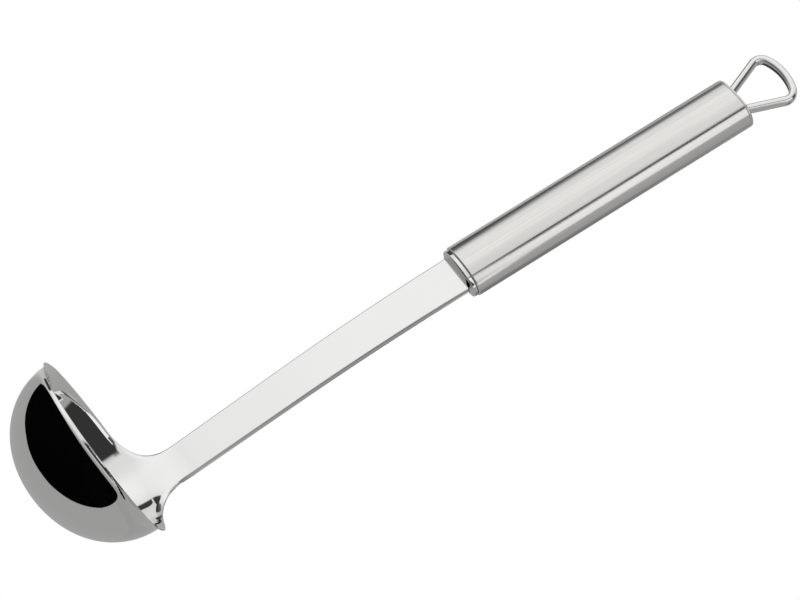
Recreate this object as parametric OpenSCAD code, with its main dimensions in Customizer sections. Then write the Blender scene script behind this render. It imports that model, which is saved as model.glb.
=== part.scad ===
// Sauce ladle of stainless steel: a pressed bowl with a pouring lip on each side, drawn out at the
// back into a neck and a flat shank, on a hollow oval handle with two end caps and a hanging loop.
// The origin is the seat of the hook inside the loop. +Z is up with the rim level, the shank stands
// on the +X side of the bowl, and the lips point along +Y and -Y.

/* [Bowl] */
// Outside diameter of the bowl at the rim
bowl_d = 67; // [56:0.5:90]
// Depth of the bowl from the rim to the underside
bowl_depth = 29.4; // [22:0.1:40]
// Thickness of the sheet in the bowl
bowl_wall = 1.6; // [1:0.1:2.4]
// How much fuller than an ellipse the side profile is
bowl_fullness_share = 0.04; // [0:0.01:0.25]

/* [Pouring lips] */
// Reach of each lip's tip beyond the round rim
lip_reach = 5.1; // [2:0.1:8]
// Half of each lip's width, as an angle at the bowl's axis
lip_half_angle = 43; // [30:1:48]
// Radius of the lip's tip, seen from above
lip_tip_r = 9; // [5:0.5:16]
// Height over which a lip fades into the wall
lip_fade_h = 5.3; // [4:0.1:10]
// How much hollower than a straight run the lip's sides are
lip_hollow_share = 0.11; // [0.05:0.01:0.5]

/* [Neck and shank] */
// Width of the neck where it leaves the rim
neck_w = 45; // [30:0.5:48]
// Height of the hollow curve on each side of the neck
neck_flare_h = 14.3; // [8:0.1:20]
// Tightness of that curve's corner, where 2 gives a quarter ellipse
neck_flare_power = 2.25; // [1.6:0.05:3]
// Height over which the round neck turns flat
neck_flat_h = 11; // [8:1:40]
// Height over which the sheet grows to the shank's thickness
neck_thick_h = 18; // [12:1:40]
// Radius of both bends in the neck, seen from the side
neck_bend_r = 39.5; // [30:0.5:60]
// How far the lower bend leans the neck back
neck_bend_angle = 14.2; // [9:0.1:20]
// Width of the shank above the neck
shank_w_low = 14.3; // [10:0.1:20]
// Width of the shank at the handle
shank_w_top = 16.5; // [12:0.1:18]
// Thickness of the shank
shank_t = 2.5; // [1.8:0.1:3.5]
// Lean of the shank's lower half
shank_lean_angle = 3.3; // [0:0.1:6]
// Length of the shank's straight lower half
shank_straight_len = 44.5; // [20:0.5:80]
// Length of the gentle bend below the handle
shank_bend_len = 71; // [40:0.5:90]
// Length of the tang inside the handle
tang_len = 22; // [12:1:40]

/* [Handle tube] */
// Lean of the handle
handle_lean_angle = 8.9; // [7:0.1:14]
// Width of the oval tube
handle_w = 22.1; // [20:0.1:30]
// Thickness of the oval tube from front to back
handle_t = 14.8; // [12:0.1:18]
// Radius of the tube's two broad faces
handle_face_r = 20.3; // [17:0.1:40]
// Length of the tube
tube_len = 119.8; // [80:0.1:150]
// Thickness of the tube's wall
tube_wall = 0.8; // [0.5:0.1:1.2]

/* [End caps] */
// Height of the front cap before the tube
cap_stand = 2.6; // [1.5:0.1:5]
// Step from the tube's side in to the cap's side
cap_step = 0.5; // [0.3:0.1:1]
// Rounding of the caps' front edge
cap_edge_r = 0.6; // [0.3:0.1:1]
// Rise of the front cap's domed face
cap_dome = 0.7; // [0.2:0.1:0.8]
// Rise of the rear cap's domed face
rear_dome = 0.5; // [0.2:0.1:0.8]
// Thickness of the rear cap's plate
rear_plate_t = 2.6; // [1.5:0.1:4]
// Length of each cap's skirt inside the tube
skirt_len = 6; // [4:0.5:12]
// Thickness of the caps' skirts
skirt_wall = 1; // [0.6:0.1:1.5]

/* [Hanging loop] */
// Width over the loop's two corners
loop_w = 23.2; // [18:0.1:30]
// Reach of the loop beyond the tube
loop_reach = 23; // [16:0.1:32]
// Distance between the two limbs at the rear cap
loop_root_w = 7.8; // [5:0.1:9]
// Width of the loop's bar
loop_bar_w = 2.9; // [1.6:0.1:3.4]
// Thickness of the loop's bar
loop_bar_t = 4; // [2:0.1:5]
// Bend radius of the loop's corners, on the middle of the bar
loop_bend_r = 3.9; // [2.6:0.1:5.5]
// Radius of the loop's outer side, on the middle of the bar
loop_arc_r = 20.3; // [16:0.1:40]
// How far the welded loop sits turned about the handle
loop_turn_angle = 9.7; // [0:0.1:12]

/* [Hidden] */
// Clearance of each skirt in the tube
skirt_gap = 0.06;
// Clearance round the tang and round the limbs in their slots
slot_gap = 0.08;
// Overrun of a cut beyond what it cuts
over = 1;
// Share of the sheet's thickness by which its worn edge stands proud
edge_crown_share = 0.28;
// Rounding of the loop's bar
loop_round = 0.6;

// Steps of the surfaces
neck_cols = 7;
side_cols = 17;
ring_steps = 16;
flare_steps = 9;
rise_steps = 8;
bend_steps = 6;
loop_steps = 8;
oval_steps = 9;
round_steps = 4;
// How much closer together the columns lie at a lip's tip
crowding_share = 0.62;
// Power by which the rings gather near the rim
ring_power = 1.4;

bowl_r = bowl_d / 2;
fullness = 2 * (1 + bowl_fullness_share);
wall_mid_r = bowl_r - bowl_wall / 2;
neck_angle = asin(neck_w / bowl_d);

// Angles of the bowl's columns, round from one side of the neck to the same side again
function crowded(s) = s * (1 + crowding_share) - crowding_share * s * s;
col_angles = concat(
    [for (i = [-neck_cols : neck_cols - 1]) neck_angle * i / neck_cols],
    [for (i = [0 : side_cols - 1]) neck_angle + (90 - neck_angle) * crowded(i / side_cols)],
    [for (i = [0 : side_cols - 1]) 180 - 90 * crowded(1 - i / side_cols)],
    [for (i = [0 : side_cols - 1]) 180 + 90 * crowded(i / side_cols)],
    [for (i = [0 : side_cols - 1]) 360 - neck_angle - (90 - neck_angle) * crowded(1 - i / side_cols)]
);
cols = len(col_angles);

// Share of the lip's reach in the direction phi: 1 at a tip, falling to 0 along both sides
rad = 180 / PI;
lip_power = 1 + lip_hollow_share;
tip_at = bowl_r + lip_reach;
tip_angle = lip_reach * lip_power * rad * rad / (lip_half_angle * tip_at * (tip_at / lip_tip_r - 1));
function lip_share(phi) =
    let (
        off = abs(90 - (phi + 360) % 180),
        eased = sqrt(off * off + tip_angle * tip_angle) - tip_angle
    )
    pow(max(1 - eased / lip_half_angle, 0), lip_power);

// Profile of the bowl at the angle u from the rim, 0, to the underside, 90: radius, height, normal
function profile(u) =
    let (
        c = cos(u),
        s = sin(u),
        n = [pow(c, 2 - 2 / fullness) / bowl_r, -pow(s, 2 - 2 / fullness) / bowl_depth]
    )
    [bowl_r * pow(c, 2 / fullness), -bowl_depth * pow(s, 2 / fullness), n / norm(n)];

// Points of one ring of the bowl, on the outside or, with depth at bowl_wall, on the inside
function ring(u, depth) =
    let (
        p = profile(u),
        r = p[0] - depth * p[2][0],
        z = p[1] - depth * p[2][1],
        drawn = lip_reach * pow(max(1 + p[1] / lip_fade_h, 0), 2) * r / bowl_r
    )
    [for (phi = col_angles) let (b = r + drawn * lip_share(phi)) [b * cos(phi), b * sin(phi), z]];

ring_angles = [for (j = [0 : ring_steps - 1]) 90 * pow(j / ring_steps, ring_power)];

// Side view of the neck and shank: [x, z, lean] after a length s, on the middle of the sheet
function smooth(v) = let (w = min(max(v, 0), 1)) w * w * (3 - 2 * w);
function arc_x(r, from, to) = r * (cos(from) - cos(to));
function arc_z(r, from, to) = r * (sin(to) - sin(from));
bend_1_len = neck_bend_r * neck_bend_angle / rad;
bend_2_len = neck_bend_r * (neck_bend_angle - shank_lean_angle) / rad;
shank_bend_r = shank_bend_len * rad / (handle_lean_angle - shank_lean_angle);
bend_1_end = [
    wall_mid_r + arc_x(neck_bend_r, 0, neck_bend_angle),
    arc_z(neck_bend_r, 0, neck_bend_angle)
];
bend_2_end = bend_1_end + [
    arc_x(neck_bend_r, shank_lean_angle, neck_bend_angle),
    arc_z(neck_bend_r, shank_lean_angle, neck_bend_angle)
];
straight_end = bend_2_end + shank_straight_len * [sin(shank_lean_angle), cos(shank_lean_angle)];
shank_top = straight_end + [
    arc_x(shank_bend_r, shank_lean_angle, handle_lean_angle),
    arc_z(shank_bend_r, shank_lean_angle, handle_lean_angle)
];
s_2 = bend_1_len + bend_2_len;
s_3 = s_2 + shank_straight_len;
s_top = s_3 + shank_bend_len;
function station(s) =
    s < bend_1_len ?
        let (a = rad * s / neck_bend_r)
        [wall_mid_r + arc_x(neck_bend_r, 0, a), arc_z(neck_bend_r, 0, a), a] :
    s < s_2 ?
        let (a = neck_bend_angle - rad * (s - bend_1_len) / neck_bend_r)
        [
            bend_1_end[0] + arc_x(neck_bend_r, a, neck_bend_angle),
            bend_1_end[1] + arc_z(neck_bend_r, a, neck_bend_angle),
            a
        ] :
    s < s_3 ?
        let (p = bend_2_end + (s - s_2) * [sin(shank_lean_angle), cos(shank_lean_angle)])
        [p[0], p[1], shank_lean_angle] :
    s < s_top ?
        let (a = shank_lean_angle + rad * (s - s_3) / shank_bend_r)
        [
            straight_end[0] + arc_x(shank_bend_r, shank_lean_angle, a),
            straight_end[1] + arc_z(shank_bend_r, shank_lean_angle, a),
            a
        ] :
        let (p = shank_top + (s - s_top) * [sin(handle_lean_angle), cos(handle_lean_angle)])
        [p[0], p[1], handle_lean_angle];

// Half width of the sheet after a length s
neck_half = wall_mid_r * sin(neck_angle);
function plain_half(s) =
    (shank_w_low + (shank_w_top - shank_w_low) * min(max((s - s_2) / (s_top - s_2), 0), 1)) / 2;
function half_w(s) =
    let (rise = max(1 - s / neck_flare_h, 0))
    plain_half(s) + (neck_half - shank_w_low / 2)
        * (1 - pow(1 - pow(rise, neck_flare_power), 1 / neck_flare_power));

// Points of one row across the sheet, on its back, side = 1, or on its front, side = -1
function row(s, side) =
    let (
        p = station(s),
        t = bowl_wall + (shank_t - bowl_wall) * smooth(s / neck_thick_h),
        curl = (1 - smooth(s / neck_flat_h)) / wall_mid_r,
        back = [cos(p[2]), 0, -sin(p[2])]
    )
    [for (i = [-neck_cols : neck_cols])
        let (
            y = half_w(s) * sin(neck_angle * i / neck_cols) / sin(neck_angle),
            turn = asin(curl * y),
            sag = curl * y * y / (1 + cos(turn))
        )
        [p[0], y, p[1]] - sag * back + side * t / 2 * (cos(turn) * back + [0, sin(turn), 0])
    ];

row_lengths = concat(
    [for (k = [1 : flare_steps]) neck_flare_h * (1 - cos(90 * k / flare_steps))],
    [for (k = [1 : rise_steps]) neck_flare_h + (s_3 - neck_flare_h) * pow(k / rise_steps, 2)],
    [for (k = [1 : bend_steps]) s_3 + shank_bend_len * k / bend_steps],
    [s_top + tang_len]
);
rows = len(row_lengths);
row_cols = 2 * neck_cols + 1;

// The sheet's skins, as lists of points: the bowl's rings and pole, then the shank's rows
function skin(side) =
    let (depth = side > 0 ? 0 : bowl_wall)
    concat(
        [for (u = ring_angles) each ring(u, depth)],
        [[0, 0, depth - bowl_depth]],
        [for (s = row_lengths) each row(s, side)]
    );
back_skin = skin(1);
front_skin = skin(-1);
skin_size = len(back_skin);
pole = cols * ring_steps;
function ring_point(j, i) = j * cols + (i + cols) % cols;
function row_point(k, i) = k == 0 ? i : pole + 1 + (k - 1) * row_cols + i;

// The free edge of the sheet, round the rim, up one side of the shank and down the other
free_edge = concat(
    [for (i = [row_cols - 1 : cols]) ring_point(0, i)],
    [for (k = [1 : rows]) row_point(k, 0)],
    [for (i = [1 : row_cols - 1]) row_point(rows, i)],
    [for (k = [1 : rows - 1]) row_point(rows - k, row_cols - 1)]
);
edge_size = len(free_edge);
function unit(v) = v / norm(v);
edge_crown = [for (e = [0 : edge_size - 1])
    let (
        here = free_edge[e],
        ahead = free_edge[(e + 1) % edge_size],
        behind = free_edge[(e + edge_size - 1) % edge_size],
        across = back_skin[here] - front_skin[here],
        along = back_skin[ahead] - back_skin[behind],
        outward = unit(cross(across, along))
    )
    (back_skin[here] + front_skin[here]) / 2 - edge_crown_share * norm(across) * outward
];

function skin_faces(start, flip) =
    let (
        quads = concat(
            [for (j = [0 : ring_steps - 2], i = [0 : cols - 1])
                [ring_point(j, i), ring_point(j, i + 1), ring_point(j + 1, i + 1), ring_point(j + 1, i)]],
            [for (k = [0 : rows - 1], i = [0 : row_cols - 2])
                [row_point(k, i), row_point(k + 1, i), row_point(k + 1, i + 1), row_point(k, i + 1)]]
        ),
        fan = [for (i = [0 : cols - 1]) [ring_point(ring_steps - 1, i), ring_point(ring_steps - 1, i + 1), pole]],
        halves = [for (q = quads) each [[q[0], q[1], q[2]], [q[0], q[2], q[3]]]]
    )
    [for (f = concat(halves, fan)) [for (i = [0 : 2]) start + f[flip ? 2 - i : i]]];
function edge_faces() =
    [for (e = [0 : edge_size - 1])
        let (
            n = (e + 1) % edge_size,
            a = free_edge[e],
            b = free_edge[n],
            crown_a = 2 * skin_size + e,
            crown_b = 2 * skin_size + n
        )
        each [
            [a, crown_a, crown_b],
            [a, crown_b, b],
            [crown_a, skin_size + a, skin_size + b],
            [crown_a, skin_size + b, crown_b]
        ]
    ];

// The four-arc oval of the handle, X from front to back and Y across, drawn in by inset
side_r = (pow(handle_face_r, 2) - pow(handle_w / 2, 2) - pow(handle_face_r - handle_t / 2, 2))
    / (2 * handle_face_r - handle_w);
side_c = handle_w / 2 - side_r;
face_c = handle_face_r - handle_t / 2;
joint_angle = atan2(side_c, face_c);
function oval_quarter(inset) = concat(
    [for (i = [0 : oval_steps]) let (a = joint_angle * i / oval_steps)
        [(handle_face_r - inset) * cos(a) - face_c, (handle_face_r - inset) * sin(a)]],
    [for (i = [1 : oval_steps]) let (a = joint_angle + (90 - joint_angle) * i / oval_steps)
        [(side_r - inset) * cos(a), side_c + (side_r - inset) * sin(a)]]
);
function oval_points(inset) =
    let (q = oval_quarter(inset), n = len(q) - 1)
    concat(
        q,
        [for (i = [1 : n]) [-q[n - i][0], q[n - i][1]]],
        [for (i = [1 : n]) [-q[i][0], -q[i][1]]],
        [for (i = [1 : n - 1]) [q[n - i][0], -q[n - i][1]]]
    );
module oval(inset) {
    polygon(oval_points(inset));
}

// A cap's head: straight side, rounded edge and domed face, rising from its base at Z = 0
module domed_head(inset, side_h, dome) {
    edge_rings = [for (i = [0 : round_steps]) let (a = 90 * i / round_steps)
        [inset + cap_edge_r * (1 - cos(a)), side_h + cap_edge_r * sin(a)]];
    outer = oval_points(edge_rings[round_steps][0]);
    base_rings = concat([[inset, 0]], edge_rings);
    points = concat(
        [for (r = base_rings) each [for (p = oval_points(r[0])) [p[0], p[1], r[1]]]],
        [for (i = [1 : round_steps - 1])
            let (share = 1 - i / round_steps)
            each [for (p = outer) [p[0] * share, p[1] * share,
                side_h + cap_edge_r + dome * (1 - share * share)]]],
        [[0, 0, side_h + cap_edge_r + dome]]
    );
    n = len(outer);
    levels = (len(points) - 1) / n;
    top = len(points) - 1;
    faces = concat(
        [[for (i = [0 : n - 1]) i]],
        [for (k = [0 : levels - 2], i = [0 : n - 1])
            let (a = k * n + i, b = k * n + (i + 1) % n)
            each [[a, a + n, b + n], [a, b + n, b]]],
        [for (i = [0 : n - 1]) [(levels - 1) * n + i, top, (levels - 1) * n + (i + 1) % n]]
    );
    polyhedron(points, faces);
}

// Middle line of the loop, seen from the front, X across and Z away from the tube's end
bar_half = loop_bar_w / 2;
corner_x = loop_w / 2 - bar_half - loop_bend_r;
arc_c = loop_reach - bar_half - loop_arc_r;
corner_z = arc_c + sqrt(pow(loop_arc_r - loop_bend_r, 2) - pow(corner_x, 2));
corner_reach = norm([corner_x - loop_root_w / 2, corner_z]);
limb_angle = atan2(corner_x - loop_root_w / 2, corner_z) + asin(loop_bend_r / corner_reach);
limb_in = rear_plate_t + skirt_len / 4;
arc_angle = atan2(corner_x, corner_z - arc_c);
// Each entry is [across, along, angle of the bar's outer side from across]
loop_half = concat(
    [for (a = [0 : loop_steps - 1]) let (turn = 90 - arc_angle * a / loop_steps)
        [loop_arc_r * cos(turn), arc_c + loop_arc_r * sin(turn), turn]],
    [for (a = [0 : loop_steps])
        let (turn = 90 - arc_angle - (90 - arc_angle + limb_angle) * a / loop_steps)
        [corner_x + loop_bend_r * cos(turn), corner_z + loop_bend_r * sin(turn), turn]],
    [[loop_root_w / 2 - limb_in * tan(limb_angle), -limb_in, -limb_angle]]
);
half_size = len(loop_half);
loop_line = concat(
    [for (i = [1 : half_size]) let (p = loop_half[half_size - i]) [-p[0], p[1], 180 - p[2]]],
    [for (i = [1 : half_size - 1]) loop_half[i]]
);
// Section of the bar: a rectangle with rounded edges, outward and from front to back
bar_section = [for (q = [0 : 3], i = [0 : round_steps])
    let (
        a = 90 * (q + i / round_steps),
        cx = (q == 0 || q == 3 ? 1 : -1) * (bar_half - loop_round),
        cy = (q < 2 ? 1 : -1) * (loop_bar_t / 2 - loop_round)
    )
    [cx + loop_round * cos(a), cy + loop_round * sin(a)]];
bar_points = len(bar_section);

// The handle's frame: Z along the handle from the front cap's face, X to the back, Y across
module in_handle() {
    translate([shank_top[0], 0, shank_top[1]]) rotate([0, handle_lean_angle, 0]) children();
}
tube_end = cap_stand + tube_len;
seat_reach = tube_end + loop_reach - loop_bar_w;
hook_seat = [
    shank_top[0] + seat_reach * sin(handle_lean_angle),
    0,
    shank_top[1] + seat_reach * cos(handle_lean_angle)
];
// The loop's frame: Z on from the tube's end, Y across the loop
module in_loop() {
    in_handle() translate([0, 0, tube_end]) rotate([0, 0, loop_turn_angle]) children();
}
module from_hook() {
    translate(-hook_seat) children();
}

// One pressing of mirror-polished sheet: bowl, pouring lips, neck, shank and tang
module bowl_and_shank() {
    color("gainsboro") from_hook()
        polyhedron(
            concat(back_skin, front_skin, edge_crown),
            concat(skin_faces(0, false), skin_faces(skin_size, true), edge_faces())
        );
}

// Satin-brushed oval tube, open at both ends
module handle_tube() {
    color("silver") from_hook() in_handle() translate([0, 0, cap_stand])
        linear_extrude(tube_len) difference() {
            oval(0);
            oval(tube_wall);
        }
}

// Polished cap with a slot for the tang and a skirt inside the tube
module front_cap() {
    skirt_inset = tube_wall + skirt_gap;
    head_side = cap_stand - cap_edge_r - cap_dome;
    color("lightgray") from_hook() in_handle() difference() {
        union() {
            translate([0, 0, cap_stand]) rotate([180, 0, 0]) domed_head(cap_step, head_side, cap_dome);
            translate([0, 0, cap_stand]) linear_extrude(skirt_len) difference() {
                oval(skirt_inset);
                oval(skirt_inset + skirt_wall);
            }
        }
        translate([0, 0, cap_stand / 2])
            cube([shank_t + 2 * slot_gap, shank_w_top + 2 * slot_gap, cap_stand + 2 * over], center = true);
    }
}

// Polished cap that closes the tube's end, with a slot for each limb of the loop
module rear_cap() {
    skirt_inset = tube_wall + skirt_gap;
    color("lightgray") from_hook() difference() {
        in_handle() translate([0, 0, tube_end - rear_plate_t]) union() {
            domed_head(skirt_inset, rear_plate_t - cap_edge_r, rear_dome);
            translate([0, 0, -skirt_len]) linear_extrude(skirt_len) difference() {
                oval(skirt_inset);
                oval(skirt_inset + skirt_wall);
            }
        }
        in_loop() for (side = [-1, 1])
            translate([0, side * loop_root_w / 2, 0]) rotate([-side * limb_angle, 0, 0])
                cube([loop_bar_t + 2 * slot_gap, loop_bar_w + 2 * slot_gap, 2 * rear_plate_t + 2 * over],
                    center = true);
    }
}

// Flat bar bent to a rounded triangle, both ends welded in the rear cap
module hanging_loop() {
    stations = len(loop_line);
    points = [for (p = loop_line, c = bar_section)
        [c[1], p[0] + c[0] * cos(p[2]), p[1] + c[0] * sin(p[2])]];
    faces = concat(
        [[for (i = [0 : bar_points - 1]) i]],
        [for (k = [0 : stations - 2], i = [0 : bar_points - 1])
            let (a = k * bar_points + i, b = k * bar_points + (i + 1) % bar_points)
            each [[a, a + bar_points, b + bar_points], [a, b + bar_points, b]]],
        [[for (i = [1 : bar_points]) stations * bar_points - i]]
    );
    color("lightgray") from_hook() in_loop() polyhedron(points, faces);
}

bowl_and_shank();
handle_tube();
front_cap();
rear_cap();
hanging_loop();
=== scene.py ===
# Stainless steel sauce ladle, hung in a white tent
# Named lengths are in millimetres and meshes in metres, and the light's section is in metres throughout
import math

import bmesh
import bpy
from mathutils import Matrix, Vector
from mathutils.kdtree import KDTree


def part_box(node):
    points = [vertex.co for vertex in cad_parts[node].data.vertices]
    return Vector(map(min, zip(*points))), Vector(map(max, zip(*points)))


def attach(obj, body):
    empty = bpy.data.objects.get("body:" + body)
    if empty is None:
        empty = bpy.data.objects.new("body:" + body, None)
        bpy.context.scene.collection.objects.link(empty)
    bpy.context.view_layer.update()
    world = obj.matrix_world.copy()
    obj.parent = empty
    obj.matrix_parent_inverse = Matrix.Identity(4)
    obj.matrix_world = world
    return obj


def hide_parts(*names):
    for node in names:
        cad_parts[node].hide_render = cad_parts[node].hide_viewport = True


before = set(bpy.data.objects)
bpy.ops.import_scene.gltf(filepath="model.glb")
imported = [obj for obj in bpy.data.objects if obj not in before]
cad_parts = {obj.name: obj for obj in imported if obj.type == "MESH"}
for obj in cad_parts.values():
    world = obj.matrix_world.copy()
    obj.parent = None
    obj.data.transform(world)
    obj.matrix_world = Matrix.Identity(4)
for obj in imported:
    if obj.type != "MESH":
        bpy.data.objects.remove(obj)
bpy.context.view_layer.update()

# The blade
# One pressing of mirror-polished sheet: bowl, neck, flat shank and the tang inside the handle.
# The plain pressing is laid out first, then the two pouring lips are drawn out of its rim.
bowl_r = 33.5
bowl_depth = 29.4
bowl_wall = 1.6
# At a fullness of 2 the bowl's section would be a plain ellipse
bowl_fullness = 2.08
neck_foot_half = 22.5
# Heights over the rim at which the neck has flared in, is flat and has the shank's thickness
neck_flare_h = 14.3
neck_flat_h = 11
neck_thick_h = 18
neck_flare_power = 2.25
neck_bend_r = 39.5
neck_lean = math.radians(14.2)
shank_half_low = 7.15
shank_half_top = 8.25
shank_t = 2.5
shank_lean = math.radians(3.3)
shank_straight = 44.5
shank_bend = 71
handle_lean = math.radians(8.9)
tang_len = 22
lip_reach = 5.1
lip_half_angle = math.radians(43)
lip_tip_r = 9
lip_hollow_power = 1.11
lip_fade_h = 5.3
lip_fade_power = 1.6
# The punch leaves the inside open by this slope at the rim, over about this height
rim_draft = 0.08
rim_draft_h = 6
# Easings of the free edge: how deep they cut, how far in they start, and on the rim how full they are
rim_outside = (0.35, 1.5, 2)
rim_inside = (0.85, 2.2, 1.7)
shank_corner = (0.2, 0.6)
# How far the edge's middle stands out, as a share of the wall. At a fullness of 1 the edge is round.
rim_crown = 0.28
shank_crown = 0.084
shank_fullness = 0.35
rim_to_shank_h = 14
# The mesh: columns gather at the neck's edges and the lips' tips, rings at the rim and rows at the neck
neck_columns = 26
neck_crowding = 0.5
side_columns = 46
side_crowding = 0.6
bowl_rings = 64
ring_power = 1.7
row_power = 1.6

wall_mid_r = bowl_r - bowl_wall / 2
neck_angle = math.asin(neck_foot_half / bowl_r)
neck_half = wall_mid_r * math.sin(neck_angle)
low_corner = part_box("bowl_and_shank")[0]
rim_centre = Vector((low_corner.x * 1000 + bowl_r, 0, low_corner.z * 1000 + bowl_depth))

# Middle line of the blade from the rim up, as bends and straights: length, lean at start and end
blade_runs = [
    (neck_bend_r * neck_lean, 0, neck_lean),
    (neck_bend_r * (neck_lean - shank_lean), neck_lean, shank_lean),
    (shank_straight, shank_lean, shank_lean),
    (shank_bend, shank_lean, handle_lean),
    (tang_len, handle_lean, handle_lean),
]
blade_bend_end = blade_runs[0][0] + blade_runs[1][0]
blade_straight_end = blade_bend_end + shank_straight
blade_top = blade_straight_end + shank_bend


def in_metres(points):
    return [(rim_centre + Vector(p)) / 1000 for p in points]


def eased(v):
    v = min(max(v, 0), 1)
    return v * v * (3 - 2 * v)


def crowded(share, crowding):
    # Even steps made shorter towards the end, or longer where crowding is below 0
    return share * (1 + crowding * (1 - share))


def neck_aim(i):
    # The angle of one of the neck's columns
    return math.copysign(crowded(abs(i) / neck_columns, neck_crowding), i) * neck_angle


def along_blade(s):
    x, z = wall_mid_r, 0
    for length, start, end in blade_runs:
        part = min(s, length)
        lean = start + (end - start) * part / length
        if start == end:
            x += part * math.sin(lean)
            z += part * math.cos(lean)
        else:
            r = length / (end - start)
            x += r * (math.cos(start) - math.cos(lean))
            z += r * (math.sin(lean) - math.sin(start))
        s -= part
        if s <= 0:
            break
    return x, z, lean


def blade_half_width(s):
    share = min(max((s - blade_bend_end) / (blade_top - blade_bend_end), 0), 1)
    plain = shank_half_low + (shank_half_top - shank_half_low) * share
    rise = max(1 - s / neck_flare_h, 0)
    flare = 1 - (1 - rise**neck_flare_power) ** (1 / neck_flare_power)
    return plain + (neck_half - shank_half_low) * flare


def blade_row(s, side):
    x, z, lean = along_blade(s)
    half_t = (bowl_wall + (shank_t - bowl_wall) * eased(s / neck_thick_h)) / 2
    curl = (1 - eased(s / neck_flat_h)) / wall_mid_r
    row = []
    for i in range(-neck_columns, neck_columns + 1):
        y = blade_half_width(s) * math.sin(neck_aim(i)) / math.sin(neck_angle)
        turn = math.asin(curl * y)
        back = side * half_t * math.cos(turn) - curl * y * y / (1 + math.cos(turn))
        across = y + side * half_t * math.sin(turn)
        row.append(Vector((x + back * math.cos(lean), across, z - back * math.sin(lean))))
    return row


def blade_lengths():
    # How far up the blade its rows lie
    flare_rows, straight_rows, bend_rows = 30, 26, 20
    straight = blade_straight_end - neck_flare_h
    found = [neck_flare_h * (1 - math.cos(math.pi / 2 * k / flare_rows)) for k in range(1, flare_rows + 1)]
    found += [neck_flare_h + straight * (k / straight_rows) ** row_power for k in range(1, straight_rows + 1)]
    found += [blade_straight_end + shank_bend * k / bend_rows for k in range(1, bend_rows + 1)]
    return found + [blade_top + tang_len]


def bowl_columns():
    angles = [neck_aim(i) for i in range(-neck_columns, neck_columns)]
    # The rim turns most sharply at the lips' tips, a quarter turn from the neck's middle
    corners = [neck_angle, math.pi / 2, math.pi, 1.5 * math.pi, 2 * math.pi - neck_angle]
    for start, end, way in zip(corners, corners[1:], (1, -1, 1, -1)):
        shares = [crowded(i / side_columns, way * side_crowding) for i in range(side_columns)]
        angles += [start + (end - start) * share for share in shares]
    return angles


def bowl_ring(u, depth, angles):
    # The ring at the angle u down the bowl's section, set in by the depth along its normal
    c, s = math.cos(u), math.sin(u)
    power = 2 - 2 / bowl_fullness
    normal = Vector((c**power / bowl_r, -(s**power) / bowl_depth)).normalized()
    r = bowl_r * c ** (2 / bowl_fullness) - depth * normal.x
    z = -bowl_depth * s ** (2 / bowl_fullness) - depth * normal.y
    return [Vector((r * math.cos(a), r * math.sin(a), z)) for a in angles]


def skin(side, angles, lengths):
    # One side of the sheet: rings from the rim down to the bowl's pole, then rows up the blade
    depth = 0 if side > 0 else bowl_wall
    points = []
    for j in range(bowl_rings):
        points += bowl_ring(math.pi / 2 * (j / bowl_rings) ** ring_power, depth, angles)
    points.append(Vector((0, 0, depth - bowl_depth)))
    for s in lengths:
        points += blade_row(s, side)
    return points


def skin_faces(count, rows):
    # The faces of one side, and the points along its free edge
    wide = 2 * neck_columns + 1
    pole = count * bowl_rings

    def on_bowl(j, i):
        return j * count + i % count

    def on_blade(k, i):
        # The blade grows from the neck's part of the rim
        return i if k == 0 else pole + 1 + (k - 1) * wide + i

    faces = []
    for j in range(bowl_rings - 1):
        for i in range(count):
            faces.append((on_bowl(j, i), on_bowl(j + 1, i), on_bowl(j + 1, i + 1), on_bowl(j, i + 1)))
    for i in range(count):
        faces.append((on_bowl(bowl_rings - 1, i), pole, on_bowl(bowl_rings - 1, i + 1)))
    for k in range(rows):
        for i in range(wide - 1):
            faces.append((on_blade(k, i), on_blade(k, i + 1), on_blade(k + 1, i + 1), on_blade(k + 1, i)))
    edge = [on_bowl(0, i) for i in range(wide - 1, count + 1)]
    edge += [on_blade(k, 0) for k in range(1, rows + 1)]
    edge += [on_blade(rows, i) for i in range(1, wide)]
    edge += [on_blade(rows - k, wide - 1) for k in range(1, rows)]
    return faces, edge


def distance_to_line(point, line, tree):
    # From a point to the nearest stretch of a closed line
    near = tree.find(point)[1]
    found = []
    for a, b in ((near - 1, near), (near, (near + 1) % len(line))):
        run = line[b] - line[a]
        share = min(max((point - line[a]).dot(run) / run.length_squared, 0), 1)
        found.append((point - line[a] - run * share).length)
    return min(found)


def on_rim(point):
    # 1 on the bowl's rim, and 0 up on the shank
    return 1 - eased(point.z / rim_to_shank_h)


def open_inside(front):
    for p in front:
        r = math.hypot(p.x, p.y)
        if r > 0:
            open_by = rim_draft * p.z * math.exp(-((p.z / rim_draft_h) ** 2) / 2) / r
            p.x += p.x * open_by
            p.y += p.y * open_by


def ease_edge(back, front, line):
    # A long easing on the outside of the rim and a softer one on its inside
    tree = KDTree(len(line))
    for i, p in enumerate(line):
        tree.insert(p, i)
    tree.balance()
    shank_cut, shank_reach = shank_corner
    for b, f in zip(back, front):
        middle = (b + f) / 2
        off = distance_to_line(middle, line, tree)
        rim_share = on_rim(middle)
        inward = (f - b).normalized()
        for point, way, (rim_cut, rim_reach, fullness) in ((b, 1, rim_outside), (f, -1, rim_inside)):
            reach = shank_reach + (rim_reach - shank_reach) * rim_share
            cut = shank_cut + (rim_cut - shank_cut) * rim_share
            t = max(1 - off / reach, 0)
            point += inward * way * cut * (1 - (1 - t**fullness) ** (1 / fullness))


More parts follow.
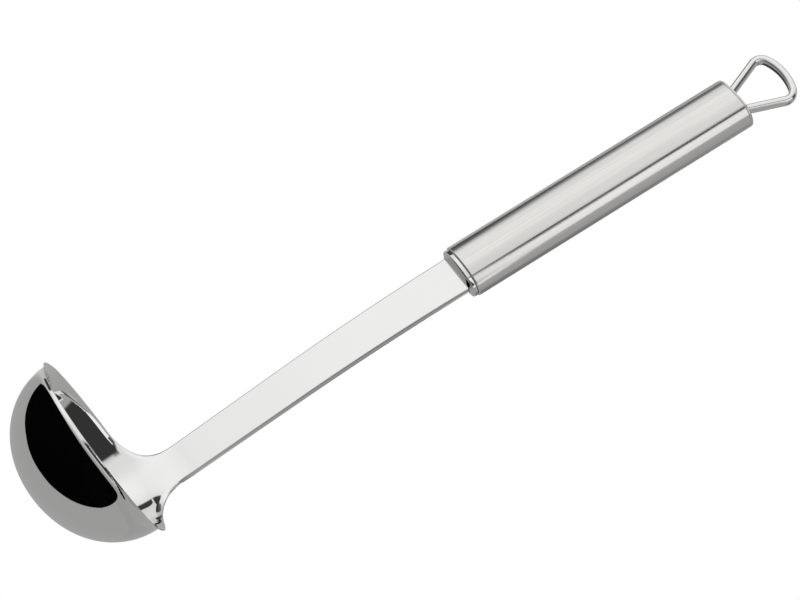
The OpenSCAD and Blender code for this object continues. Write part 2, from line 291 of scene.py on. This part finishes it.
def edge_skin(back, front, edge, line, walls):
    # Round on the bowl's rim, and cut square with broken corners up the shank
    steps = 8
    points, ladders = [], []
    for e, here in enumerate(edge):
        rim_share = on_rim(line[e])
        fullness = shank_fullness + (1 - shank_fullness) * rim_share
        crown = (shank_crown + (rim_crown - shank_crown) * rim_share) * walls[e]
        middle = (back[here] + front[here]) / 2
        across = back[here] - middle
        outward = across.cross(line[e - 1] - line[(e + 1) % len(line)]).normalized() * crown
        ladder = [here]
        for k in range(1, steps):
            a = math.pi * k / steps
            side = math.copysign(abs(math.cos(a)) ** fullness, math.cos(a))
            ladder.append(len(back) + len(front) + len(points))
            points.append(middle + across * side + outward * math.sin(a) ** fullness)
        ladders.append(ladder + [len(back) + here])
    faces = []
    for here, ahead in zip(ladders, ladders[1:] + ladders[:1]):
        for k in range(steps):
            faces.append((here[k], ahead[k], ahead[k + 1], here[k + 1]))
    return points, faces


def plain_pressing():
    angles, lengths = bowl_columns(), blade_lengths()
    back, front = skin(1, angles, lengths), skin(-1, angles, lengths)
    cells, edge = skin_faces(len(angles), len(lengths))
    open_inside(front)
    line = [(back[e] + front[e]) / 2 for e in edge]
    walls = [(back[e] - front[e]).length for e in edge]
    ease_edge(back, front, line)
    edge_points, edge_faces = edge_skin(back, front, edge, line, walls)
    outside = [tuple(reversed(cell)) for cell in cells]
    inside = [tuple(len(back) + v for v in cell) for cell in cells]
    return back + front + edge_points, outside + inside + edge_faces


def mesh_piece(name, points, faces):
    mesh = bpy.data.meshes.new(name)
    mesh.from_pydata(in_metres(points), [], faces)
    shape = bmesh.new()
    shape.from_mesh(mesh)
    bmesh.ops.remove_doubles(shape, verts=shape.verts, dist=1e-7)
    bmesh.ops.recalc_face_normals(shape, faces=shape.faces)
    shape.to_mesh(mesh)
    shape.free()
    mesh.shade_smooth()
    piece = bpy.data.objects.new(name, mesh)
    bpy.context.scene.collection.objects.link(piece)
    return piece


def new_tree(name, inputs):
    tree = bpy.data.node_groups.new(name, "GeometryNodeTree")
    tree.interface.new_socket("Geometry", in_out="INPUT", socket_type="NodeSocketGeometry")
    tree.interface.new_socket("Geometry", in_out="OUTPUT", socket_type="NodeSocketGeometry")
    for label, value in inputs.items():
        kind = "NodeSocketFloat" if isinstance(value, float) else "NodeSocketMaterial"
        tree.interface.new_socket(label, in_out="INPUT", socket_type=kind)
    return tree


def maths_in(tree):
    # Gives a function that adds one Math node to the tree
    def maths(operation, *values):
        node = tree.nodes.new("ShaderNodeMath")
        node.operation = operation
        for socket, value in zip(node.inputs, values):
            if isinstance(value, (int, float)):
                socket.default_value = value
            else:
                tree.links.new(value, socket)
        return node.outputs[0]

    return maths


def end_tree(tree, shape, steel):
    real = tree.nodes.new("GeometryNodeRealizeInstances")
    tree.links.new(shape, real.inputs[0])
    finish = tree.nodes.new("GeometryNodeSetMaterial")
    tree.links.new(real.outputs[0], finish.inputs["Geometry"])
    tree.links.new(steel, finish.inputs["Material"])
    tree.links.new(finish.outputs[0], tree.nodes.new("NodeGroupOutput").inputs[0])


def run_tree(piece, tree, inputs):
    modifier = piece.modifiers.new(tree.name, "NODES")
    modifier.node_group = tree
    for item in tree.interface.items_tree:
        if item.in_out == "INPUT" and item.name in inputs:
            modifier[item.identifier] = inputs[item.name]
    piece.update_tag()
    bpy.context.view_layer.update()
    depsgraph = bpy.context.evaluated_depsgraph_get()
    made = bpy.data.meshes.new_from_object(piece.evaluated_get(depsgraph))
    piece.modifiers.remove(modifier)
    piece.data = made
    made.shade_smooth()


def lip_tree(sizes):
    tree = new_tree("pouring_lips", sizes)
    add, link = tree.nodes.new, tree.links.new
    start = add("NodeGroupInput")
    given = {s.name: s for s in start.outputs}
    place = add("GeometryNodeInputPosition")
    split = add("ShaderNodeSeparateXYZ")
    link(place.outputs[0], split.inputs[0])
    m = maths_in(tree)
    x = m("SUBTRACT", split.outputs[0], given["Rim X"])
    y = split.outputs[1]
    drop = m("MINIMUM", m("SUBTRACT", split.outputs[2], given["Rim Z"]), 0.0)
    # The angle from the nearer lip's tip, about the bowl's axis. It is eased so that the tip comes out round.
    off = m("ARCTAN2", m("ABSOLUTE", x), m("ABSOLUTE", y))
    tip_at = m("ADD", given["Bowl radius"], given["Lip reach"])
    bend = m("SUBTRACT", m("DIVIDE", tip_at, given["Lip tip radius"]), 1.0)
    flat = m("DIVIDE", m("MULTIPLY", given["Lip reach"], given["Hollow power"]),
             m("MULTIPLY", m("MULTIPLY", given["Lip half angle"], tip_at), bend))
    round_off = m("SUBTRACT", m("SQRT", m("ADD", m("MULTIPLY", off, off), m("MULTIPLY", flat, flat))), flat)
    share = m("POWER", m("MAXIMUM", m("SUBTRACT", 1.0, m("DIVIDE", round_off, given["Lip half angle"])), 0.0),
              given["Hollow power"])
    # The lip reaches down the wall as far as it reaches out, so it runs out in a narrow band under the rim
    least_share = 0.04
    depth = m("MULTIPLY", given["Lip fade height"],
              m("POWER", m("MAXIMUM", share, least_share), given["Lip fade power"]))
    fade = m("MAXIMUM", m("ADD", 1.0, m("DIVIDE", drop, depth)), 0.0)
    drawn = m("MULTIPLY", m("MULTIPLY", m("DIVIDE", given["Lip reach"], given["Bowl radius"]), share),
              m("MULTIPLY", fade, fade))
    outward = add("ShaderNodeCombineXYZ")
    link(m("MULTIPLY", x, drawn), outward.inputs[0])
    link(m("MULTIPLY", y, drawn), outward.inputs[1])
    shift = add("GeometryNodeSetPosition")
    link(start.outputs[0], shift.inputs["Geometry"])
    link(outward.outputs[0], shift.inputs["Offset"])
    end_tree(tree, shift.outputs[0], given["Steel"])
    return tree


def metal(name, colour):
    steel = bpy.data.materials.new(name)
    steel.use_nodes = True
    tree = steel.node_tree
    shader = tree.nodes["Principled BSDF"]
    shader.inputs["Base Color"].default_value = (*colour, 1)
    shader.inputs["Metallic"].default_value = 1
    place = tree.nodes.new("ShaderNodeTexCoord")
    return steel, tree, shader, place.outputs["Object"]


def noise_on(tree, place, scale, detail, stretch=(1, 1, 1), turn=(0, 0, 0)):
    mapping = tree.nodes.new("ShaderNodeMapping")
    mapping.vector_type = "TEXTURE"
    mapping.inputs["Rotation"].default_value = turn
    mapping.inputs["Scale"].default_value = stretch
    tree.links.new(place, mapping.inputs["Vector"])
    noise = tree.nodes.new("ShaderNodeTexNoise")
    noise.inputs["Scale"].default_value = scale
    noise.inputs["Detail"].default_value = detail
    tree.links.new(mapping.outputs[0], noise.inputs["Vector"])
    return noise.outputs["Fac"]


def spread(tree, noise, low, high):
    band = tree.nodes.new("ShaderNodeMapRange")
    band.inputs["From Min"].default_value = 0.3
    band.inputs["From Max"].default_value = 0.7
    band.inputs["To Min"].default_value = low
    band.inputs["To Max"].default_value = high
    tree.links.new(noise, band.inputs["Value"])
    return band.outputs[0]


def raise_skin(tree, shader, noise, strength, distance):
    bump = tree.nodes.new("ShaderNodeBump")
    bump.inputs["Strength"].default_value = strength
    bump.inputs["Distance"].default_value = distance
    tree.links.new(noise, bump.inputs["Height"])
    tree.links.new(bump.outputs[0], shader.inputs["Normal"])


def mirror_polish():
    steel, tree, shader, place = metal("mirror_polished_steel", (0.78, 0.78, 0.77))
    # Faint buffing haze, and a skin that isn't perfectly flat
    haze = noise_on(tree, place, scale=60, detail=3)
    tree.links.new(spread(tree, haze, 0.015, 0.035), shader.inputs["Roughness"])
    waves = noise_on(tree, place, scale=45, detail=1)
    raise_skin(tree, shader, waves, strength=0.03, distance=0.001)
    return steel


lip_sizes = {
    "Bowl radius": bowl_r / 1000,
    "Lip reach": lip_reach / 1000,
    "Lip half angle": lip_half_angle,
    "Lip tip radius": lip_tip_r / 1000,
    "Lip fade height": lip_fade_h / 1000,
    "Lip fade power": lip_fade_power,
    "Hollow power": lip_hollow_power,
    "Rim X": rim_centre.x / 1000,
    "Rim Z": rim_centre.z / 1000,
    "Steel": mirror_polish(),
}
blade = mesh_piece("pressed_blade", *plain_pressing())
run_tree(blade, lip_tree(lip_sizes), lip_sizes)
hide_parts("bowl_and_shank")
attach(blade, "root")

# The handle tube
# Seamless stainless tube drawn to an oval of four arcs and brushed along its length.
# Its ends are dressed round over the two caps.
handle_half_w = 11.05
handle_half_t = 7.4
handle_face_r = 20.3
tube_len = 119.8
tube_wall = 0.8
tube_end_r = 0.45
cap_stand = 2.6
# The line where the rear cap's rim meets the tube: its place, depth and half widths at bottom and top
seam_from_end = 0.95
seam_depth = 0.2
seam_half_bottom = 0.06
seam_half_top = 0.2

handle_side_r = (handle_face_r**2 - handle_half_w**2 - (handle_face_r - handle_half_t) ** 2) / (
    2 * (handle_face_r - handle_half_w))
handle_arc_joint = math.atan2(handle_half_w - handle_side_r, handle_face_r - handle_half_t)
foot_x, foot_z, foot_lean = along_blade(blade_top)
handle_frame = Matrix.Translation((foot_x, 0, foot_z)) @ Matrix.Rotation(foot_lean, 4, "Y")


def handle_oval(inset, a):
    # The point of the oval where its outside faces the angle a, X to the back and Y across
    half = abs((a + math.pi / 2) % math.pi - math.pi / 2)
    if half < handle_arc_joint:
        side = 1 if math.cos(a) > 0 else -1
        centre = (-side * (handle_face_r - handle_half_t), 0)
        r = handle_face_r - inset
    else:
        side = 1 if math.sin(a) > 0 else -1
        centre = (0, side * (handle_half_w - handle_side_r))
        r = handle_side_r - inset
    return centre[0] + r * math.cos(a), centre[1] + r * math.sin(a)


def oval_angles():
    # Even steps within each arc. Each joint of two arcs lies halfway between two points.
    joint = handle_arc_joint
    marks = [-joint, joint, math.pi - joint, math.pi + joint, 2 * math.pi - joint]
    found = []
    face_steps, side_steps = 32, 40
    for start, end, steps in zip(marks, marks[1:], (face_steps, side_steps) * 2):
        found += [start + (end - start) * (i + 0.5) / steps for i in range(steps)]
    return found


def oval_ring(inset, z):
    return [(*handle_oval(inset, a), z) for a in oval_angles()]


def ringed(rings):
    # A skin over rings of points in the handle's frame, and its faces
    n = len(rings[0])
    points = [handle_frame @ Vector(p) for ring in rings for p in ring]
    faces = []
    for k in range(len(rings) - 1):
        for i in range(n):
            j = (i + 1) % n
            faces.append((k * n + i, k * n + j, (k + 1) * n + j, (k + 1) * n + i))
    return points, faces


def quarter_turn(steps):
    return [math.pi / 2 * i / steps for i in range(steps + 1)]


def tube_mesh():
    end = cap_stand + tube_len
    seam = end - seam_from_end
    rounding = [(tube_end_r * (1 - math.sin(a)), tube_end_r * (1 - math.cos(a))) for a in quarter_turn(6)]
    plain_from, plain_to = cap_stand + tube_end_r, seam - seam_half_top
    plain_rows = 24
    # Rows this close to the ends of the plain stretch keep the smooth shading from bending over it
    near_rows = (0.05, 0.3)
    rows = [(inset, cap_stand + h) for inset, h in rounding]
    rows += [(0, plain_from + h) for h in near_rows]
    rows += [(0, plain_from + (plain_to - plain_from) * k / plain_rows) for k in range(1, plain_rows)]
    rows += [(0, plain_to - h) for h in reversed(near_rows)]
    rows += [(0, plain_to), (seam_depth, seam - seam_half_bottom)]
    rows += [(seam_depth, seam + seam_half_bottom), (0, seam + seam_half_top)]
    rows += [(inset, end - h) for inset, h in reversed(rounding)]
    rows += [(tube_wall, end), (tube_wall, cap_stand)]
    return ringed([oval_ring(inset, z) for inset, z in rows + rows[:1]])


def satin_polish():
    colour = (0.71, 0.70, 0.68)
    steel, tree, shader, place = metal("satin_brushed_steel", colour)
    # Brush marks run along the handle, so the grain is stretched along its axis
    along = (0, handle_lean, 0)
    grain = noise_on(tree, place, scale=2600, detail=2, stretch=(1, 1, 160), turn=along)
    tree.links.new(spread(tree, grain, 0.1, 0.24), shader.inputs["Roughness"])
    streaks = noise_on(tree, place, scale=1100, detail=4, stretch=(1, 1, 60), turn=along)
    tint = tree.nodes.new("ShaderNodeMix")
    tint.data_type = "RGBA"
    tree.links.new(spread(tree, streaks, 0, 1), tint.inputs[0])
    # Sockets 6 and 7 hold the node's two colours, and output 2 the mixed one
    tint.inputs[6].default_value = (*[c - 0.03 for c in colour], 1)
    tint.inputs[7].default_value = (*[c + 0.03 for c in colour], 1)
    tree.links.new(tint.outputs[2], shader.inputs["Base Color"])
    raise_skin(tree, shader, grain, strength=0.06, distance=0.0001)
    return steel


tube = mesh_piece("brushed_tube", *tube_mesh())
tube.data.materials.append(satin_polish())
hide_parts("handle_tube")
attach(tube, "root")

# The end caps
# Two polished caps pressed into the tube. The blade's tang goes in through the front one.
# The rear one closes the tube flush and holds the loop's two limbs.
# The front cap stands in from the tube's side by its step, and its face rises in a dome round the slot
cap_step = 0.5
cap_edge_r = 0.6
cap_dome = 0.7
cap_dome_power = 1.15
cap_fit = 0.06
cap_reach = 6
cap_bore_inset = 1.9
cap_plate_t = 2.4
# The groove round the front cap at the tube's end: its depth, and how far from that end its floor, slope
# and edge reach
cap_groove_inset = 0.28
cap_groove_floor = 0.1
cap_groove_slope = 0.24
cap_groove_edge = 0.3
slot_gap = 0.22
slot_edge = 0.02
# The power of the slot's outline, which would be an ellipse at 2
slot_power = 12
rear_cap_len = 8
rear_cap_wall = 1
rear_plate_t = 2.6
rear_dome = 0.5


def front_cap_mesh():
    # The dome ends at a slot with rounded corners, a little wider than the tang
    slot_half_t, slot_half_w = shank_t / 2 + slot_gap, shank_half_top + slot_gap
    edge_z = cap_edge_r + cap_dome
    inner, groove = tube_wall + cap_fit, cap_step + cap_groove_inset
    groove_top = cap_stand + cap_groove_edge
    bore = oval_ring(cap_bore_inset, cap_stand + cap_reach)
    rings = [bore, oval_ring(inner, cap_stand + cap_reach), oval_ring(inner, groove_top)]
    rings += [oval_ring(groove, groove_top), oval_ring(groove, cap_stand - cap_groove_floor)]
    rings += [oval_ring(cap_step, cap_stand - depth) for depth in (cap_groove_slope, cap_groove_edge)]
    for a in quarter_turn(8):
        rings.append(oval_ring(cap_step + cap_edge_r * (1 - math.cos(a)), edge_z - cap_edge_r * math.sin(a)))
    rim = rings[-1]
    reach_y = max(p[1] for p in rim)
    slot = []
    for x, y, z in rim:
        across = y / reach_y
        half_t = slot_half_t * (1 - abs(across) ** slot_power) ** (1 / slot_power)
        slot.append((math.copysign(half_t, x), across * slot_half_w))
    steps = 12
    for k in range(1, steps + 1):
        share = k / steps
        rings.append([(x + (u - x) * share, y + (v - y) * share, cap_dome * (1 - share) ** cap_dome_power)
                      for (x, y, z), (u, v) in zip(rim, slot)])
    rings += [[(u, v, depth) for u, v in slot] for depth in (slot_edge, cap_plate_t)]
    rings += [oval_ring(cap_bore_inset, cap_plate_t), bore]
    return ringed(rings)


def rear_cap_mesh():
    end = cap_stand + tube_len
    inset = tube_wall + cap_fit
    bore = oval_ring(inset + rear_cap_wall, end - rear_cap_len)
    rings = [bore, oval_ring(inset, end - rear_cap_len)]
    for a in quarter_turn(8):
        rings.append(oval_ring(inset + cap_edge_r * (1 - math.cos(a)), end - cap_edge_r * (1 - math.sin(a))))
    rim = rings[-1]
    steps = 14
    for k in range(1, steps + 1):
        share = 1 - k / steps
        rings.append([(x * share, y * share, z + rear_dome * (1 - share * share)) for x, y, z in rim])
    for k in range(steps, -1, -1):
        share = 1 - k / steps
        rings.append([(x * share, y * share, end - rear_plate_t) for x, y, z in bore])
    rings.append(bore)
    return ringed(rings)


def cap_polish():
    steel, tree, shader, place = metal("polished_cap_steel", (0.74, 0.74, 0.73))
    haze = noise_on(tree, place, scale=300, detail=3)
    tree.links.new(spread(tree, haze, 0.03, 0.07), shader.inputs["Roughness"])
    return steel


cap_steel = cap_polish()
for cap_name, node_name, shape in (
    ("front_cap_turned", "front_cap", front_cap_mesh()),
    ("rear_cap_turned", "rear_cap", rear_cap_mesh()),
):
    cap = mesh_piece(cap_name, *shape)
    cap.data.materials.append(cap_steel)
    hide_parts(node_name)
    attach(cap, "root")

# The hanging loop
# Flat bar with rounded edges, bent to a rounded triangle and polished.
# Both limbs enter the rear cap and are welded there, a little turned about the handle.
loop_half_w = 11.6
loop_reach = 23
loop_root_half = 3.9
loop_root_depth = 4.1
loop_bar_w = 2.9
loop_bar_t = 4
loop_edge_r = 1.2
loop_bend_r = 3.9
loop_arc_r = 20.3
loop_turn = math.radians(9.7)

loop_foot = Matrix.Translation((0, 0, cap_stand + tube_len))
loop_frame = handle_frame @ loop_foot @ Matrix.Rotation(loop_turn, 4, "Z")


def loop_path():
    corner_y = loop_half_w - loop_bar_w / 2 - loop_bend_r
    arc_z = loop_reach - loop_bar_w / 2 - loop_arc_r
    corner_z = arc_z + math.sqrt((loop_arc_r - loop_bend_r) ** 2 - corner_y**2)
    limb = math.atan2(corner_y - loop_root_half, corner_z) + math.asin(
        loop_bend_r / math.hypot(corner_y - loop_root_half, corner_z))
    arc = math.atan2(corner_y, corner_z - arc_z)
    bend_steps, limb_steps = 20, 8
    # One half, from the middle of the arc over the bend and down the limb
    half = []
    for k in range(bend_steps):
        a = math.pi / 2 - arc * k / bend_steps
        half.append((loop_arc_r * math.cos(a), arc_z + loop_arc_r * math.sin(a)))
    for k in range(bend_steps + 1):
        a = math.pi / 2 - arc - (math.pi / 2 - arc + limb) * k / bend_steps
        half.append((corner_y + loop_bend_r * math.cos(a), corner_z + loop_bend_r * math.sin(a)))
    top_y, top_z = half[-1]
    foot_y = loop_root_half - loop_root_depth * math.tan(limb)
    for k in range(1, limb_steps + 1):
        share = k / limb_steps
        half.append((top_y + (foot_y - top_y) * share, top_z - (loop_root_depth + top_z) * share))
    line = [(-y, z) for y, z in reversed(half[1:])] + half
    return [loop_frame @ Vector((0, y, z)) for y, z in line]


def bar_tree(sizes):
    tree = new_tree("bent_bar", sizes)
    add, link = tree.nodes.new, tree.links.new
    start = add("NodeGroupInput")
    given = {s.name: s for s in start.outputs}
    curve = add("GeometryNodeMeshToCurve")
    link(start.outputs[0], curve.inputs[0])
    facing = add("GeometryNodeSetCurveNormal")
    facing.mode = "FREE"
    facing.inputs["Normal"].default_value = loop_frame.to_3x3() @ Vector((1, 0, 0))
    link(curve.outputs[0], facing.inputs["Curve"])
    section = add("GeometryNodeCurvePrimitiveQuadrilateral")
    link(given["Bar thickness"], section.inputs["Width"])
    link(given["Bar width"], section.inputs["Height"])
    soft = add("GeometryNodeFilletCurve")
    soft.mode = "POLY"
    soft.inputs["Count"].default_value = 6
    link(section.outputs[0], soft.inputs["Curve"])
    link(given["Edge rounding"], soft.inputs["Radius"])
    bar = add("GeometryNodeCurveToMesh")
    bar.inputs["Fill Caps"].default_value = True
    link(facing.outputs[0], bar.inputs["Curve"])
    link(soft.outputs[0], bar.inputs["Profile Curve"])
    end_tree(tree, bar.outputs[0], given["Steel"])
    return tree


def loop_polish():
    steel, tree, shader, place = metal("polished_bar_steel", (0.76, 0.76, 0.75))
    haze = noise_on(tree, place, scale=400, detail=3)
    tree.links.new(spread(tree, haze, 0.1, 0.18), shader.inputs["Roughness"])
    return steel


loop_line = bpy.data.meshes.new("hanging_loop_bar")
loop_points = in_metres(loop_path())
loop_line.from_pydata(loop_points, [(i, i + 1) for i in range(len(loop_points) - 1)], [])
loop = bpy.data.objects.new("hanging_loop_bar", loop_line)
bpy.context.scene.collection.objects.link(loop)
bar_sizes = {
    "Bar width": loop_bar_w / 1000,
    "Bar thickness": loop_bar_t / 1000,
    "Edge rounding": loop_edge_r / 1000,
    "Steel": loop_polish(),
}
run_tree(loop, bar_tree(bar_sizes), bar_sizes)
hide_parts("hanging_loop")
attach(loop, "root")

# The camera
# A long lens, almost level with the bowl's rim and rolled over, so that the handle rises to the right.
# It stands where the middle of the rim falls on the same pixel as in the photograph.
camera_azimuth = math.radians(-55.41)
camera_elevation = math.radians(-2.13)
camera_roll = math.radians(53.17)
camera_distance = 707.78
photo_w, photo_h = 800, 600
rim_px, rim_py = 104.4, 445.59
lens_px = 2100
sensor_w = 36

to_camera = Vector((math.sin(camera_azimuth) * math.cos(camera_elevation),
                    -math.cos(camera_azimuth) * math.cos(camera_elevation),
                    math.sin(camera_elevation)))
sideways = Vector((math.cos(camera_azimuth), math.sin(camera_azimuth), 0))
upright = to_camera.cross(sideways)
right = sideways * math.cos(camera_roll) + upright * math.sin(camera_roll)
up = upright * math.cos(camera_roll) - sideways * math.sin(camera_roll)
rim_right = (rim_px - photo_w / 2) / lens_px * camera_distance
rim_below = (rim_py - photo_h / 2) / lens_px * camera_distance
eye = (rim_centre - right * rim_right + up * rim_below + to_camera * camera_distance) / 1000
lens = bpy.data.cameras.new("studio_camera")
lens.sensor_width = sensor_w
lens.lens = lens_px * sensor_w / photo_w
lens.clip_start, lens.clip_end = 0.01, 20
camera = bpy.data.objects.new("studio_camera", lens)
camera.matrix_world = Matrix((
    (right.x, up.x, to_camera.x, eye.x),
    (right.y, up.y, to_camera.y, eye.y),
    (right.z, up.z, to_camera.z, eye.z),
    (0, 0, 0, 1),
))
bpy.context.scene.collection.objects.link(camera)
bpy.context.scene.camera = camera

# The light
# A soft white tent round the ladle, which hangs above a plain pale floor. Both are white to the camera.
# The metal sees grey, bright and dark fields in them, and panels and cards that stand nearer.
# Azimuths are turned from X towards Y: the camera stands at -145, and its right is at -55.
floor_level = 0.41
floor_z = -2
floor_r = 4
tent_fields = [
    # Strength, then azimuth, half width, lowest edge, highest edge and softness in degrees
    # The tent's foot on the right
    (0.35, -55, 60, -90, -25, 24),
    # The tent all round, and its shaded walls behind and on the right
    (0.62, 10, 180, -9, 90, 2),
    (0.42, -20, 70, -8, 62, 5),
    (0.22, -10, 25, -5, 12, 8),
    (0.42, 35, 45, 10, 75, 5),
    # The opening to the dark studio, right of the camera, and a small one left of it
    (0.04, -115, 45, 0.5, 30, 3),
    (0.10, -100, 60, 28, 60, 5),
    (0.04, -160, 4, 3, 11, 1.5),
    # The bright wall on the left, and the dark gap beyond it
    (0.90, 150, 47, -3, 90, 6),
    (1.08, 146, 22, -3, 90, 16),
    (0.05, 104, 14, -3, 17, 2),
    (0.12, 101, 10, 14, 32, 3),
]


def within(tree, value, soft):
    # 0 outside an edge and 1 inside it, with a soft change over the edge
    edge = tree.nodes.new("ShaderNodeMapRange")
    edge.interpolation_type = "SMOOTHSTEP"
    edge.inputs["From Min"].default_value = -soft
    edge.inputs["From Max"].default_value = soft
    tree.links.new(value, edge.inputs["Value"])
    return edge.outputs[0]


def white_to_camera(tree, strength):
    # The picture's ground is pure white, while the metal sees the strength given here
    seen = tree.nodes.new("ShaderNodeLightPath").outputs["Is Camera Ray"]
    m = maths_in(tree)
    return m("ADD", strength, m("MULTIPLY", m("SUBTRACT", 1.0, strength), seen))


def tent_strength(tree):
    gaze = tree.nodes.new("ShaderNodeTexCoord").outputs["Generated"]
    split = tree.nodes.new("ShaderNodeSeparateXYZ")
    tree.links.new(gaze, split.inputs[0])
    x, y, z = split.outputs
    m = maths_in(tree)
    height = m("ARCSINE", z)
    light = floor_level
    for strength, middle, half, low, high, soft in tent_fields:
        turn, soft = math.radians(middle), math.radians(soft)
        ahead = m("ADD", m("MULTIPLY", x, math.cos(turn)), m("MULTIPLY", y, math.sin(turn)))
        beside = m("SUBTRACT", m("MULTIPLY", y, math.cos(turn)), m("MULTIPLY", x, math.sin(turn)))
        aside = m("ABSOLUTE", m("ARCTAN2", beside, ahead))
        # A field that goes all round has no side edges, so its half width is taken as a whole turn
        half_turn = math.radians(half) if half < 180 else 2 * math.pi
        mask = within(tree, m("SUBTRACT", half_turn, aside), soft)
        if low > -90:
            mask = m("MULTIPLY", mask, within(tree, m("SUBTRACT", height, math.radians(low)), soft))
        if high < 90:
            mask = m("MULTIPLY", mask, within(tree, m("SUBTRACT", math.radians(high), height), soft))
        light = m("ADD", light, m("MULTIPLY", mask, m("SUBTRACT", strength, light)))
    return light


world = bpy.data.worlds.new("white_tent")
bpy.context.scene.world = world
world.use_nodes = True
tent = world.node_tree
tent.nodes.clear()
tent_glow = tent.nodes.new("ShaderNodeBackground")
tent_glow.inputs["Color"].default_value = (1, 1, 1, 1)
tent.links.new(white_to_camera(tent, tent_strength(tent)), tent_glow.inputs["Strength"])
tent.links.new(tent_glow.outputs[0], tent.nodes.new("ShaderNodeOutputWorld").inputs["Surface"])

floor_form = bmesh.new()
bmesh.ops.create_circle(floor_form, cap_ends=True, segments=96, radius=floor_r)
floor_mesh = bpy.data.meshes.new("floor")
floor_form.to_mesh(floor_mesh)
floor_form.free()
floor = bpy.data.objects.new("floor", floor_mesh)
floor.location.z = floor_z
bpy.context.scene.collection.objects.link(floor)
pale = bpy.data.materials.new("pale_floor")
pale.use_nodes = True
pale_tree = pale.node_tree
pale_tree.nodes.clear()
floor_glow = pale_tree.nodes.new("ShaderNodeEmission")
floor_glow.inputs["Color"].default_value = (1, 1, 1, 1)
pale_tree.links.new(white_to_camera(pale_tree, floor_level), floor_glow.inputs["Strength"])
pale_tree.links.new(floor_glow.outputs[0], pale_tree.nodes.new("ShaderNodeOutputMaterial").inputs["Surface"])
floor_mesh.materials.append(pale)

# Panels and cards are bent strips. Each is given by its distance from the middle, and along it by azimuths
# in degrees with the heights of its lower and upper edge. The camera doesn't see them.
panel_r = 0.55
panel_light = 1.1
panel_ring = [(turn, -0.02, 0.42) for turn in (-144, -132, -120, -109, -98)]
panel_start_ring = [(-156, -0.05, 0.03), (-152, -0.03, 0.04), (-143, -0.02, 0.08)]
panel_end_ring = [(-98, -0.04, 0.02), (-89, -0.09, -0.02), (-82, -0.115, -0.06)]
grey_ring = [(-98, -0.08, 0.3), (-85, -0.09, 0.3), (-70, -0.1, 0.3), (-55, -0.1, 0.3)]
grey_light = 0.45
loop_card_r = 0.04
loop_card_ring = [(turn, -0.042, -0.008) for turn in range(0, 61, 10)]
loop_card_light = 0.04
# The dark card stands round the point below the bowl. Its turns and widths are in degrees.
card_middle_x = rim_centre.x / 1000
card_r = 0.3
card_start, card_end = 98, 283
card_top = -0.344
card_hump_turn = 132
card_hump_left, card_hump_right = 34, 45
card_hump_h = 0.033
card_fall_turn = 188
card_fall_width = 94
card_fall_power = 20
card_fall_h = 0.14
card_foot = -0.37
card_foot_drop = 0.032
card_floor_turn = 107
card_floor_z = floor_z + 0.005
card_light = 0.001


def stage_card(name, points, faces, brightness):
    mesh = bpy.data.meshes.new(name)
    mesh.from_pydata(points, [], faces)
    card = bpy.data.objects.new(name, mesh)
    bpy.context.scene.collection.objects.link(card)
    cloth = bpy.data.materials.new(name)
    cloth.use_nodes = True
    shader = cloth.node_tree.nodes["Principled BSDF"]
    shader.inputs["Base Color"].default_value = (0, 0, 0, 1)
    shader.inputs["Specular IOR Level"].default_value = 0
    shader.inputs["Emission Color"].default_value = (1, 1, 1, 1)
    shader.inputs["Emission Strength"].default_value = brightness
    mesh.materials.append(cloth)
    card.visible_camera = False
    card.visible_shadow = False


def around(reach, turn, height, middle_x=0):
    a = math.radians(turn)
    return middle_x + reach * math.cos(a), reach * math.sin(a), height


def bent_strip(name, reach, ring, brightness, middle_x=0):
    points = [around(reach, turn, height, middle_x) for turn, *heights in ring for height in heights]
    faces = [(2 * i, 2 * i + 1, 2 * i + 3, 2 * i + 2) for i in range(len(ring) - 1)]
    stage_card(name, points, faces, brightness)


def dark_card_edge(turn):
    # The upper edge rises in a low hump over the camera's left, and falls away at the right end.
    # The lower edge drops from the left end and then follows the floor.
    hump_width = card_hump_left if turn < card_hump_turn else card_hump_right
    hump = card_hump_h * math.exp(-(((turn - card_hump_turn) / hump_width) ** 2))
    towards_end = max(turn - card_fall_turn, 0) / card_fall_width
    top = card_top + hump - card_fall_h * towards_end**card_fall_power
    bottom = card_floor_z if turn >= card_floor_turn else card_foot - card_foot_drop * (turn - card_start)
    return turn, top, bottom


bent_strip("side_panel", panel_r, panel_ring, panel_light)
bent_strip("panel_start", panel_r, panel_start_ring, panel_light)
bent_strip("panel_end", panel_r - 0.01, panel_end_ring, panel_light)
bent_strip("grey_panel", panel_r + 0.01, grey_ring, grey_light)
bent_strip("loop_card", loop_card_r, loop_card_ring, loop_card_light)
dark_card_ring = [dark_card_edge(turn) for turn in range(card_start, card_end + 1)]
bent_strip("dark_card", card_r, dark_card_ring, card_light, card_middle_x)

# It lies on along the floor, as far as the point below the bowl
lying_turns = range(card_floor_turn, card_end + 1)
lying_card = [(card_middle_x, 0, card_floor_z)]
lying_card += [around(card_r, turn, card_floor_z, card_middle_x) for turn in lying_turns]
stage_card("lying_card", lying_card, [(0, i, i + 1) for i in range(1, len(lying_card) - 1)], card_light)

bpy.context.scene.view_settings.view_transform = "Standard"
